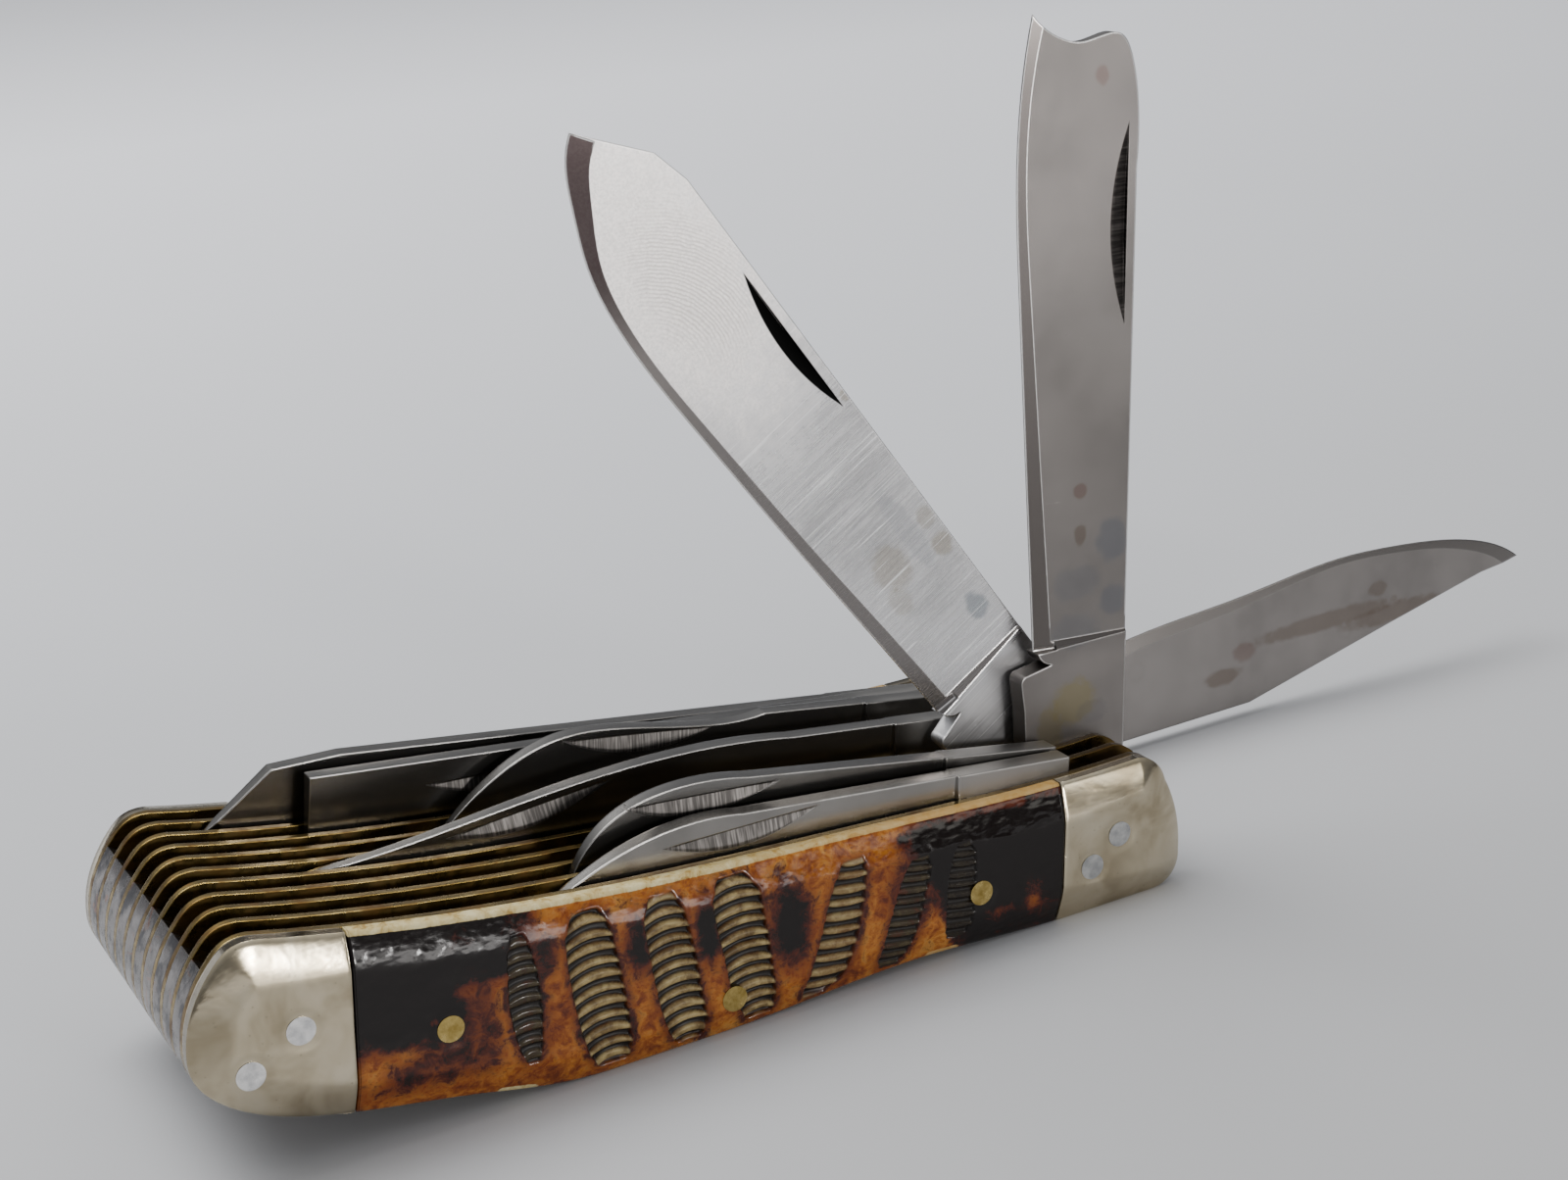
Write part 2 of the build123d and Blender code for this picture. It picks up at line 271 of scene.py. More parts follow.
def milled_nick(look, at, nick, tone, ribs):
    """Masks of the nick and of the steel close to it, and the colour of its ribbed wall: a dark tone
    painted in as the nick's shade, with lighter milled ribs.
    """
    length, height, slant, half, width = nick
    turn = look.nodes.new("ShaderNodeVectorRotate")
    turn.rotation_type = "Y_AXIS"
    turn.inputs["Center"].default_value = (length, 0, height)
    turn.inputs["Angle"].default_value = math.radians(slant)
    look.link(at, turn.inputs["Vector"])
    turned = turn.outputs["Vector"]
    x, _, z = look.split(turned)
    along = look.math("DIVIDE", look.math("SUBTRACT", x, length), half)
    belly = look.math("MULTIPLY_ADD", look.math("MULTIPLY", along, along), width, -width)
    down = look.math("SUBTRACT", z, height)
    inside = look.math("MULTIPLY", look.span(look.math("SUBTRACT", down, belly), -.05, .10),
                       look.span(down, .09, .03))
    on_front = look.math("LESS_THAN", look.split(look.true_normal())[1], 0)
    inside = look.math("MULTIPLY", inside, on_front)
    cut = look.noise(look.stretch(turned, (4.5, 1, .12)), 1, 2, .5)
    wall = look.ramp(cut, (.42, tone), (.66, tuple(ribs * c for c in tone)))
    from_middle = look.math("ABSOLUTE", look.math("ADD", down, width / 2))
    close = look.math("MULTIPLY", look.span(look.math("ABSOLUTE", along), 1.14, 1.04),
                      look.span(from_middle, width / 2 + .9, width / 2 + .6))
    return inside, close, wall


def steel_look(name, angle, tint, seed, nick=None, nick_shade_tone=(.02, .018, .017), ribs=3,
               bevel=(.136, .131, .126), bevel_tip_reflection=None, stains=(), frost_sheen=None, spots=.3, grain=0,
               edge_highlight_strength=.15, plunge=.2):
    """Satin blade steel: brushed across the blade, with stains, spots, a milled nick painted dark as its
    shade, and a painted highlight and a painted dark reflection along its edges.

    A nick is its place along and up the blade, its slant, half its length and its width. A stain is
    its centre, radii, tone and strength, and a frosty patch, whose pale tone is partly a painted sheen, is
    its centre, radii and tone.
    """
    look = Look(name, .3, 1)
    at = look.along_blade(angle)
    here = look.vector("ADD", at, (seed * 17.3, 0, seed * 9.1))
    brush = look.noise(look.stretch(here, (4.2, 1, .16)), 1, 4, .7)
    fine = look.noise(look.stretch(here, (9, 3, .35)), 1, 2, .6)
    ragged = look.noise(here, .75, 3, .6)
    color = brushed(look, here, brush, fine, tint, grain, spots)
    for centre, radii, stain_tone, strength in stains:
        mask = look.math("MULTIPLY", look.blot(at, centre, radii, ragged), strength)
        color = look.mix(mask, color, stain_tone)
    rough = look.math("MULTIPLY_ADD", brush, .20 * grain, .27 - .10 * grain)
    if frost_sheen is not None:
        color, rough = frost_and_sheen(look, at, here, ragged, frost_sheen, color, rough)
    along, _, up = look.split(at)
    edges = look.soft_edges(.26 * MM)
    square = look.facing()
    tang = look.span(along, *GRIND_TO_TANG)
    edge_highlight = paint_edge_highlight(look, edges, square, along, up, tang, plunge)
    # Painted reflection: the sloped edge bevel, told by how squarely it faces sideways, takes the darker
    # bevel tone, and the tip tone near the tip where one is given.
    if bevel_tip_reflection is not None:
        bevel = look.mix(look.span(along, 66, 80), bevel, bevel_tip_reflection)
    bevel_reflection_mask = look.math("MULTIPLY", look.span(square, .994, .984), look.span(square, .5, .7))
    color = look.mix(look.math("MULTIPLY", bevel_reflection_mask, .95), color, bevel)
    if nick is not None:
        inside, close, wall = milled_nick(look, at, nick, nick_shade_tone, ribs)
        # Painted shade: the front face of the nick takes the dark tone of its wall.
        color = look.mix(inside, color, wall)
        rough = look.math("MULTIPLY_ADD", inside, .2, rough)
        # No painted highlight on the steel close to the nick.
        edge_highlight = look.math("MULTIPLY", edge_highlight, look.math("MULTIPLY_ADD", close, -1, 1))
    # Painted highlight: the edges of the flat sides are mixed towards near white.
    look.color(look.mix(look.math("MULTIPLY", edge_highlight, edge_highlight_strength), color, EDGE_HIGHLIGHT_TONE))
    look.rough(look.math("MULTIPLY_ADD", tang, .14, rough))
    flat = look.span(square, .90, .98)
    lines = look.math("MULTIPLY", look.math("MULTIPLY_ADD", fine, .4, brush), flat)
    look.bump(lines, .09 * grain, .06 * MM, edges)
    look.shader.inputs["Anisotropic"].default_value = .3
    return look.material


def spring_look():
    """Ground spring steel, with grey-blue spotting and a little rust on the end grain."""
    look = Look("spring_steel", .24, 1)
    at = look.place()
    grain = look.noise(look.place(scale=(.5, 14, .5)), .8, 3, .6)
    cloud = look.noise(at, .42, 4, .62)
    color = look.ramp(cloud, (.39, (.062, .06, .066)), (.48, (.165, .155, .15)), (.66, (.23, .213, .205)))
    rust = look.span(look.noise(at, .33, 4, .65, .8), .60, .70)
    color = look.mix(look.math("MULTIPLY", rust, .55), color, (.30, .12, .06))
    look.color(color)
    look.rough(look.span(cloud, .3, .7, .34, .18))
    look.bump(grain, .15, .00005, look.soft_edges(.00018))
    return look.material


def liner_look():
    """Rolled brass with patches of brown tarnish, darker towards the pivot end."""
    look = Look("liner_brass", .30, 1)
    at = look.place()
    streak = look.noise(look.place(scale=(.18, 1, .9)), .9, 4, .6)
    tarnish = look.noise(at, .30, 4, .65, .4)
    color = look.ramp(streak, (.30, (.11, .07, .018)), (.50, (.25, .175, .055)), (.68, (.38, .28, .105)))
    color = look.mix(look.span(tarnish, .46, .66, 0, .75), color, (.13, .065, .02))
    x = look.split(at)[0]
    color = look.mix(look.span(x, 36, 50, 0, .75), color, (.055, .034, .012))
    look.color(color)
    look.rough(look.span(tarnish, .4, .7, .24, .46))
    look.bump(streak, .08, .00006, look.soft_edges(.00016))
    return look.material


def bolster_look():
    """Nickel silver: warm grey, buffed lengthwise, with pits and a faint yellow cast."""
    look = Look("bolster_nickel_silver", .2, 1)
    at = look.place()
    buff = look.noise(look.place(scale=(.5, 1, 6)), .7, 3, .6)
    cloud = look.noise(at, .16, 3, .6, .5)
    pit = look.span(look.cells(at, 1.1), .13, .05)
    color = look.ramp(cloud, (.34, (.34, .28, .18)), (.52, (.51, .44, .31)), (.68, (.58, .515, .385)))
    color = look.mix(look.math("MULTIPLY", buff, .30), color, (.50, .46, .36))
    color = look.mix(look.math("MULTIPLY", pit, .45), color, (.18, .16, .11))
    look.color(color)
    look.rough(look.math("MULTIPLY_ADD", buff, .14, .11))
    scratch = look.noise(look.place(scale=(.6, 5, 5), turn=(0, .5, 0)), 1.4, 3, .6)
    first = look.bump(scratch, .08, .00004)
    look.bump(cloud, .35, .0002, first)
    return look.material


def pin_look(name, low, high, rough):
    """Peened pin ends, swirled between two tones."""
    look = Look(name, rough, 1)
    at = look.place()
    swirl = look.noise(at, 1.1, 4, .6)
    color = look.ramp(swirl, (.32, low), (.66, high))
    look.color(color)
    look.rough(look.math("MULTIPLY_ADD", swirl, .15, rough - .06))
    look.bump(swirl, .25, .00006)
    return look.material


def bone_look(name, seed):
    """Jigged bone, flame-dyed: amber with burnt ends, pale where the dye is buffed off."""
    look = Look(name, .2, 0, IOR=1.5, Specular_IOR_Level=.31)
    at = look.place()
    here = look.vector("ADD", at, (seed * 31.0, seed * 17.0, seed * 11.0))
    broad = look.noise(here, .13, 4, .6, .6)
    mottle = look.noise(here, .60, 6, .72, .5)
    speck = look.noise(look.stretch(here, (.6, 1, 1)), 2.6, 4, .7)
    amber = look.ramp(look.math("MULTIPLY_ADD", mottle, .6, look.math("MULTIPLY", broad, .4)),
                      (.38, (.075, .013, .003)), (.46, (.17, .042, .006)), (.53, (.28, .094, .012)),
                      (.62, (.42, .20, .036)))
    amber = look.mix(look.span(speck, .54, .68, 0, .55), amber, (.06, .012, .005))
    burn = look.math("ADD", look.attribute("burn"),
                     look.math("MULTIPLY_ADD", mottle, 1.5, look.math("MULTIPLY_ADD", broad, .5, -1.0)))
    color = look.mix(look.span(burn, .10, .42), amber, (.055, .010, .005))
    color = look.mix(look.span(burn, .34, .66), color, (.005, .003, .0025))
    color = look.mix(look.attribute("groove"), color, (.006, .004, .003))
    rib = look.ramp(mottle, (.38, (.085, .052, .017)), (.50, (.19, .135, .054)), (.62, (.30, .23, .10)))
    color = look.mix(look.attribute("rib"), color, rib)
    horn = look.ramp(mottle, (.38, (.26, .165, .045)), (.48, (.40, .315, .14)), (.62, (.50, .44, .25)))
    x = look.split(at)[0]
    horn = look.mix(look.span(x, 0, 34, 0, .75), horn, (.36, .20, .055))
    pale = look.span(look.math("ADD", look.attribute("pale"), look.math("MULTIPLY_ADD", mottle, .5, -.25)),
                     .38, .58)
    color = look.mix(pale, color, horn)
    look.color(color)
    worked = look.math("ADD", look.attribute("groove"), look.attribute("rib"))
    polish = look.math("MULTIPLY_ADD", speck, .20, .02)
    look.rough(look.math("MULTIPLY_ADD", worked, .34, polish))
    wave = look.noise(look.stretch(here, (.7, 1, 1.2)), .46, 2, .5)
    first = look.bump(wave, .50, .0003)
    look.bump(speck, .14, .00006, first)
    return look.material


SPRING = spring_look()
LINER = liner_look()
BOLSTER = bolster_look()
STEEL_PIN = pin_look("pin_steel", (.52, .52, .52), (.80, .79, .77), .22)
DULL_PIN = pin_look("pin_steel_dull", (.30, .305, .31), (.48, .48, .47), .30)
BRASS_PIN = pin_look("pin_brass", (.26, .18, .045), (.46, .35, .13), .24)

# Tint of the folded blades: their steel grey, darkened as painted shade for their dim reflections.
STEEL_AND_SHADE_TINT = (.22, .213, .203)
# Painted shade inside the nick of a folded blade.
FOLDED_NICK_SHADE = (.062, .058, .055)
TAN, GREY_BLUE, RUST, BROWN = (.34, .29, .21), (.13, .14, .16), (.13, .06, .045), (.12, .085, .06)
FOLDED = dict(tint=STEEL_AND_SHADE_TINT, nick_shade_tone=FOLDED_NICK_SHADE)
USUAL_NICK = (8.2, 1.9)            # half its length, and its width

# Most tints sit far below bare steel, partly as painted shade for the dim reflections these blades show;
# the spey's pale tint is near bare steel.
# What sets each blade's steel apart. The angle is the blade's turn at rest, in degrees.
# A blade's edge highlight strength scales the painted highlight along its edges.
BLADE_LOOKS = {
    "clip_point": dict(
        grain=.08, angle=.6, tint=(.25, .232, .22), bevel=(.195, .182, .173), edge_highlight_strength=.10,
        stains=(((38.7, 2.7), (2.6, 1.0), BROWN, .5), ((42.0, .3), (1.6, 1.2), RUST, .35),
                ((55.0, -.5), (11, 1.1), BROWN, .45), ((66.0, 1.0), (8, 1.2), BROWN, .45),
                ((78.0, 1.8), (5, 1.4), GREY_BLUE, .3), ((63.3, -2.7), (1.5, 1.0), BROWN, .4))),
    "sheepsfoot": dict(FOLDED, angle=171.5, nick=(61.0, 5.4, -3.0, *USUAL_NICK)),
    "square_chisel": dict(FOLDED, angle=173.2, nick=(57.3, 6.7, -2.0, *USUAL_NICK)),
    "drop_point": dict(FOLDED, angle=170.9, nick=(44.5, 8.0, 0.0, *USUAL_NICK)),
    "detail_pen": dict(FOLDED, angle=174.0),
    "long_point": dict(FOLDED, angle=172.2, nick=(59.1, 5.1, -13.0, *USUAL_NICK)),
    "spey": dict(
        grain=.9, edge_highlight_strength=.8, plunge=1.0, angle=123.4, tint=(.66, .655, .66), spots=.1,
        nick=(60.2, 7.5, 0.0, 8.8, 1.5), nick_shade_tone=(.004, .004, .004), ribs=1,
        bevel=(.20, .183, .175), bevel_tip_reflection=(.024, .010, .011),
        # The frosty patch's near-white tone is partly a painted sheen.
        frost_sheen=((76.0, 1.5), (18.0, 9.0), (1.0, .96, .93)),
        stains=(((76.1, 1.8), (1.0, 1.3), TAN, .5), ((34.1, 1.6), (2.6, 2.0), TAN, .45),
                ((30.5, .2), (1.8, 1.2), TAN, .3), ((32.0, 7.3), (1.3, 1.2), TAN, .55),
                ((35.7, 7.5), (1.2, 1.0), TAN, .4), ((23.6, 6.3), (1.6, 1.2), (.30, .33, .36), .7),
                ((36.0, 5.2), (5.5, 1.1), (.34, .35, .38), .3), ((52.2, 8.3), (.7, .5), TAN, .5))),
    "fishtail": dict(
        grain=.08, edge_highlight_strength=.95, angle=86.5, tint=(.212, .196, .185), spots=.2,
        nick=(60.9, 6.2, 0.0, 10.0, 1.9), bevel=(.105, .095, .09),
        stains=(((34.0, 1.4), (.8, .8), RUST, .42), ((29.3, 1.5), (1.1, .7), BROWN, .5),
                ((28.2, 5.4), (2.3, 1.9), GREY_BLUE, .55), ((21.7, 5.6), (1.6, 1.5), GREY_BLUE, .5),
                ((75.7, 3.0), (1.0, .8), RUST, .35), ((24.0, 1.2), (1.8, 2.6), GREY_BLUE, .3),
                ((19.0, 1.0), (1.8, 3.0), GREY_BLUE, .3), ((11.3, .8), (2.4, 2.6), (.22, .18, .05), .42),
                ((7.8, -2.2), (3.8, 1.5), (.20, .16, .05), .36),
                ((9.8, 3.2), (1.3, 1.9), (.10, .10, .105), .28))),
    "curved_sheepsfoot": dict(FOLDED, angle=170.0, nick=(45.5, 6.3, -5.0, *USUAL_NICK)),
    "pen": dict(FOLDED, tint=(.27, .258, .243), angle=173.7, nick=(42.3, 6.6, -6.0, *USUAL_NICK))}
for name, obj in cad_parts.items():
    if name.startswith("blade_"):
        kind = name.removeprefix("blade_")    # its length also shifts the noise
        material = steel_look("steel_" + kind, seed=1.3 + len(kind) * .7, **BLADE_LOOKS[kind])
    elif name.startswith("backspring"):
        material = SPRING
    elif name.startswith("liner"):
        material = LINER
    elif "bolster" in name:
        material = BOLSTER
    elif name.startswith("scale_pin") or name == "centre_pin":
        material = BRASS_PIN
    else:
        material = DULL_PIN if name.startswith("pivot") else STEEL_PIN
    for slot in obj.material_slots:
        slot.material = material


# ---- crowned slabs: bolsters and jigged scales -------------------------------------------------------
PIN_PROUD = .07 * MM               # how far a pin's head stands above the dish round it
CAP_GAP = .07 * MM                 # what a bolster leaves open at its joint
SCALE_GAP = .11 * MM               # what a scale leaves open at each joint
BEVEL_DROP = 1.22 * MM             # how far the bevel falls from the flat of the face to the rim
CREASE = .35 * MM                  # softness of the bevel's upper edge
ARRIS_DROP, ARRIS_REACH = .16 * MM, .14 * MM
JOINT_DROP, CAP_JOINT_REACH, SCALE_JOINT_REACH = .10 * MM, .10 * MM, .12 * MM
BEVEL_WIDTHS = ((-44, 3.0), (-38, 4.1), (-29, 3.5), (0, 3.1), (30, 3.5), (46, 4.2), (52, 3.6), (60, 2.9))
RIM_STEPS = np.array([0, .04, .10, .18, .30]) * MM
RIM_END = .45 * MM
JOINT_STEPS = np.array([.06, .16]) * MM
ON_JOINT = .06 * MM                # a corner this close to a joint belongs to it


def leaning(x, z):
    """How far along the handle a point is, counted along the slant of the bolster joints."""
    return x - SHEAR * z


def inner_loop(node):
    """Corner points (x, z) of the outline of a slab's inner face, in order round it."""
    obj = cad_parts[node]
    mesh = obj.data
    points = np.array([v.co for v in mesh.vertices], dtype=float)
    inner = np.abs(points[:, 1]).min()
    keys = [tuple(np.round(p * 1e6).astype(int)) for p in points]    # in whole micrometres
    flat = np.abs(np.abs(points[:, 1]) - inner) < 1e-6
    sides = {}
    for face in mesh.polygons:
        ids = list(face.vertices)
        if not all(flat[i] for i in ids):
            continue
        for a, b in zip(ids, ids[1:] + ids[:1]):
            edge = (keys[a], keys[b])
            if edge[::-1] in sides:
                del sides[edge[::-1]]
            else:
                sides[edge] = True
    follow = {a: b for a, b in sides}
    best = []
    while follow:
        start, here = next(iter(follow.items()))
        del follow[start]
        loop = [start]
        while here != start:
            loop.append(here)
            here = follow.pop(here)
        if len(loop) > len(best):
            best = loop
    return np.array([(p[0] * 1e-6, p[2] * 1e-6) for p in best]), inner


PIN_BOXES = [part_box(n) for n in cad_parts
             if "rivet" in n or "scale_pin" in n or n in ("pivot_pin", "butt_pin", "centre_pin")]


def pin_dish(x, z):
    """Depth of the shallow dish round each pin, which leaves its head just proud."""
    dish = np.zeros_like(x)
    for low, high in PIN_BOXES:
        middle = ((low[0] + high[0]) / 2, (low[2] + high[2]) / 2)
        radius = (high[0] - low[0]) / 2
        reach = np.hypot(x - middle[0], z - middle[1])
        dish = np.maximum(dish, PIN_PROUD * smooth(reach, 1.7 * radius, 1.08 * radius))
    return dish


def new_piece(name, verts, faces, material, node, attributes=None):
    """A piece of the handle that takes the place of a node, with values at its points if given."""
    mesh = bpy.data.meshes.new(name)
    mesh.from_pydata([tuple(v) for v in verts], [], [tuple(int(i) for i in f) for f in faces])
    mesh.validate()
    mesh.materials.append(material)
    for key, values in (attributes or {}).items():
        layer = mesh.attributes.new(key, "FLOAT", "POINT")
        layer.data.foreach_set("value", np.asarray(values, dtype=np.float32))
    mesh.shade_smooth()
    obj = bpy.data.objects.new(name, mesh)
    bpy.context.collection.objects.link(obj)
    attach(obj, "handle")
    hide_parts(node)


def smooth(value, low, high):
    """A soft step that is 0 at low and 1 at high, whichever is larger."""
    t = np.clip((value - low) / (high - low), 0, 1)
    return t * t * (3 - 2 * t)


def near_edge(x, z, outline):
    """Distance from each point to an open polyline."""
    best = np.full(np.shape(x), np.inf)
    for (ax, az), (bx, bz) in zip(outline[:-1], outline[1:]):
        dx, dz = bx - ax, bz - az
        t = np.clip(((x - ax) * dx + (z - az) * dz) / (dx * dx + dz * dz + 1e-18), 0, 1)
        best = np.minimum(best, np.hypot(x - ax - t * dx, z - az - t * dz))
    return best


def crown_drop(inset, width):
    """How far the outside falls this far in from the rim: a bevel with a soft crease and a soft rim."""
    past = width - inset
    past = np.where(past > CREASE, past, np.clip(past + CREASE, 0, None) ** 2 / (4 * CREASE))
    return BEVEL_DROP * (past / width) ** 1.3 + ARRIS_DROP * np.exp(-inset / ARRIS_REACH)


def bevel_width(x):
    """Width of the rim's bevel at each place along the handle."""
    places, widths = zip(*BEVEL_WIDTHS)
    return MM * np.interp(x / MM, places, widths)


def joint_split(loop, joints):
    """The part of a closed loop that is not on a bolster joint, as polylines in (x, z)."""
    lean = leaning(*loop.T)
    on_joint = np.zeros(len(loop), bool)
    for joint in joints:
        on_joint |= np.abs(lean - joint) < ON_JOINT
    runs = []
    count = len(loop)
    start = next(i for i in range(count) if on_joint[i] and not on_joint[(i + 1) % count])
    run = [loop[start]]
    for step in range(1, count + 1):
        i = (start + step) % count
        if on_joint[i]:
            if len(run) > 1 or not on_joint[(i - 1) % count]:
                run.append(loop[i])
                runs.append(np.array(run))
            run = [loop[i]]
        else:
            run.append(loop[i])
    return runs


def slab_grid(loop, left, right, columns, rows, gap):
    """Points over a slab between two leaning joints, denser near the rims."""
    lean = leaning(*loop.T)
    at = np.linspace(left + gap, right - gap, columns)
    at = np.concatenate([[at[0]], at[0] + JOINT_STEPS, at[1:-1], at[-1] - JOINT_STEPS[::-1], [at[-1]]])
    low, high = np.empty(len(at)), np.empty(len(at))
    a, b = lean, np.roll(lean, -1)
    za, zb = loop[:, 1], np.roll(loop[:, 1], -1)
    for k, s in enumerate(at):
        hit = (a - s) * (b - s) < 0
        z = za[hit] + (s - a[hit]) / (b[hit] - a[hit]) * (zb[hit] - za[hit])
        low[k], high[k] = z.min(), z.max()
    height = (high - low)[:, None]
    rim = np.broadcast_to(RIM_STEPS, (len(at), len(RIM_STEPS)))
    body = np.linspace(0, 1, rows)[None, :] * (height - 2 * RIM_END) + RIM_END
    depth = np.concatenate([rim, body, height - rim[:, ::-1]], axis=1)
    z = low[:, None] + depth
    x = at[:, None] + SHEAR * z
    return x, z


def grid_faces(columns, rows, flip):
    """The quads of a grid whose points are numbered down each column in turn."""
    i, j = np.meshgrid(np.arange(columns - 1), np.arange(rows - 1), indexing="ij")
    a = (i * rows + j).ravel()
    quads = np.stack([a, a + rows, a + rows + 1, a + 1], axis=1)
    return quads[:, ::-1] if flip else quads


def walled(x, z, y, inner, side):
    """A grid with walls down to the inner face all round, as vertices and faces."""
    columns, rows = x.shape
    verts = [np.stack([x.ravel(), y.ravel(), z.ravel()], axis=1)]
    faces = [grid_faces(columns, rows, side > 0)]
    edge = [i * rows for i in range(columns)]
    edge += [(columns - 1) * rows + j for j in range(1, rows)]
    edge += [i * rows + rows - 1 for i in range(columns - 2, -1, -1)]
    edge += [j for j in range(rows - 2, 0, -1)]
    top = verts[0][edge]
    base = top.copy()
    base[:, 1] = side * inner
    first = columns * rows
    verts.append(base)
    count = len(edge)
    wall = []
    for k in range(count):
        n = (k + 1) % count
        quad = [edge[k], first + k, first + n, edge[n]]
        wall.append(quad if side < 0 else quad[::-1])
    faces.append(np.array(wall))
    return np.concatenate(verts), np.concatenate(faces), edge


# Jigged patches on the scale's face, in millimetres: the top and bottom heights; the left and the right
# edge at seven heights from the top down, closer together near both ends; then the rib pitch, its arch
# and its slope, and how strongly the ribs show.
PATCHES = [
    ((17.0, 4.1), (-14.2, -14.8, -15.0, -15.2, -15.0, -14.6, -14.0),
     (-13.0, -12.5, -12.1, -12.0, -12.1, -12.3, -12.8),
     1.42, .25, 0.0, .16),
    ((17.2, 1.2), (-8.1, -9.1, -9.1, -8.9, -8.5, -7.9, -6.9), (-5.4, -4.6, -4.2, -3.8, -3.6, -3.5, -3.8),
     1.42, .55, .06, 1.0),
    ((16.5, .8), (-.3, -1.2, -1.0, -.7, -.3, .3, 1.3), (2.2, 3.0, 3.5, 3.9, 4.1, 4.5, 4.0),
     1.42, .50, .04, 1.0),
    ((16.2, .9), (6.9, 6.0, 6.2, 6.7, 7.1, 7.9, 8.8), (9.8, 11.0, 11.3, 11.6, 11.8, 11.9, 11.6),
     1.36, .45, .02, 1.0),
    ((14.3, .8), (20.2, 19.2, 18.2, 17.3, 16.2, 15.2, 15.0), (22.5, 22.7, 22.3, 21.6, 20.6, 19.5, 17.2),
     1.34, -.10, -.15, .80),
    ((12.5, 1.4), (27.9, 26.9, 26.0, 25.1, 24.2, 23.6, 23.8), (29.7, 30.0, 29.5, 28.7, 27.9, 26.9, 25.8),
     1.08, -.06, -.17, .16),
    ((12.6, 2.4), (33.2, 32.5, 32.0, 31.6, 31.4, 31.3, 31.6), (34.6, 35.2, 35.2, 35.0, 34.8, 34.4, 33.6),
     1.08, -.06, -.17, .05),
]


def jig(x, z):
    """Depth of the jigging, strength of its grooves and of its ribs, and the scorch round it."""
    depth = np.zeros_like(x)
    groove = np.zeros_like(x)
    rib = np.zeros_like(x)
    halo = np.zeros_like(x)
    for (top, bottom), left, right, pitch, arch, slope, force in PATCHES:
        down = (top - z) / (top - bottom)
        knots = np.linspace(0, 1, len(left))
        knots = (1 - np.cos(math.pi * knots)) / 2 * .5 + knots * .5
        low = np.interp(down, knots, left)
        high = np.interp(down, knots, right)
        middle, half = (low + high) / 2, np.maximum((high - low) / 2, .2)
        across = (x - middle) / half
        margin = half - np.abs(x - middle)
        inside = smooth(margin, -.08, .14) * smooth(down, -.012, .018) * smooth(down, 1.012, .982)
        rise = z - slope * (x - middle) + arch * across * across
        phase = rise / pitch + .05 * np.sin(rise * 2.3 + top)
        off = np.abs((phase % 1) - .5)
        thick = .29 * np.clip(1.04 - across * across, 0, 1) ** .25
        crest = smooth(off, thick + .06, thick - .06)
        hollow = inside * (.10 + .50 * smooth(off, thick * .4, thick + .14))
        depth = np.maximum(depth, hollow * (.6 + .4 * force) * MM)
        groove = np.maximum(groove, inside * (1 - crest))
        rib = np.maximum(rib, inside * crest * force)
        outside = np.maximum(np.abs(across) * half - half, 0)
        scorch = np.exp(-(outside / .9) ** 2) * smooth(down, -.1, .05) * smooth(down, 1.1, .95)
        halo = np.maximum.reduce([halo, 2.4 * (1 - force) * inside, scorch])
    return depth, groove, rib, halo


# Burnt spots and pale spots on the scale's face: strength, centre and radii, in millimetres.
BURNT_SPOTS = ((.66, -1.9, 12.5, 1.8, 3.4), (.92, 14.0, 9.8, 2.3, 4.4), (.80, 27.5, 8.5, 2.4, 4.0),
               (.58, -11.2, 14.4, 1.6, 2.4), (.86, 5.3, 11.8, 1.5, 3.6), (.70, -13.4, 10.5, 1.9, 6.0))
PALE_SPOTS = ((.45, -28.6, 9.0, 1.4, 3.0), (.40, -25.5, 9.2, 1.9, 1.0), (.55, -22.4, 11.2, .6, .5),
              (.35, -19.8, 13.2, 1.4, .8), (.60, 30.2, 2.6, 1.3, 2.6), (.44, 41.8, 4.8, 1.3, 2.6),
              (.30, 37.6, 4.0, 1.6, 1.0))


def blob(x, z, strength, across, up, half_width, half_height):
    """A spot that fades away from its centre."""
    return strength * np.exp(-(((x - across) / half_width) ** 2 + ((z - up) / half_height) ** 2))


def burnt(x, z, halo):
    """How strongly the bone is burnt dark at each point of the face, in millimetres."""
    right_end = .97 * smooth(x + .45 * (z - 8), 27.0, 33.0)
    dark = right_end - .30 * smooth(z, 7.0, 3.5) * smooth(x, 33.0, 36.0)
    left_zones = (.92 * smooth(x, -15.8, -21.5) * smooth(z, 5.7, 11.7),
                  .74 * smooth(x, -9.5, -14.5) * smooth(z, 12.6, 14.4),
                  .40 * smooth(x, -14.5, -17.5) * smooth(z, 3.0, 6.5),
                  .30 * smooth(leaning(x, z), -29.2, -30.2))
    spots = [blob(x, z, *spot) for spot in BURNT_SPOTS]
    dark = np.maximum.reduce([dark, *left_zones, *spots, .34 * halo])
    for spot in PALE_SPOTS:
        dark = dark - blob(x, z, *spot)
    return np.clip(dark, 0, 1)


